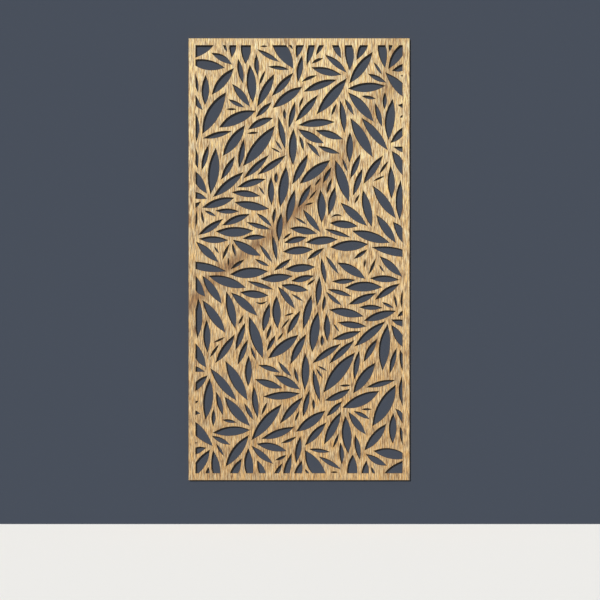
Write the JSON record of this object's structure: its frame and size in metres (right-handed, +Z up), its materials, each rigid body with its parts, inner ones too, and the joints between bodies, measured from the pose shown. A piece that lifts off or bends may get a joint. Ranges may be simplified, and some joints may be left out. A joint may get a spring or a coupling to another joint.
{
  "type": "decorative screen panel",
  "caption": "Wall-hung rectangular fretwork panel: a thin oak-faced board cut through with pointed leaves, on a hidden batten frame with keyhole hangers.",
  "frame": {"origin": "midway between the entry holes of the two keyhole plates, in the plane of the plates' and battens' backs", "axes": "+Z up along the panel's height, X across its width, the face looks towards -Y and the wall is at +Y"},
  "size_m": [0.6, 0.0165, 1.2],
  "materials": {
    "oak_faced_board": "light golden oak veneer, satin, with dark laser-cut edges",
    "batten_wood": "planed pine, unfinished",
    "hanger_steel": "zinc-plated sheet steel",
    "screw_steel": "zinc-plated",
    "bumper_felt": "pressed felt"
  },
  "bodies": {
    "root": {"fretwork_board": "oak_faced_board", "left_back_stile": "batten_wood", "right_back_stile": "batten_wood", "top_back_rail": "batten_wood", "bottom_back_rail": "batten_wood", "left_keyhole_hanger": "hanger_steel", "right_keyhole_hanger": "hanger_steel", "upper_left_bumper": "bumper_felt", "upper_right_bumper": "bumper_felt", "lower_left_bumper": "bumper_felt", "lower_right_bumper": "bumper_felt"}
  },
  "joints": []
}
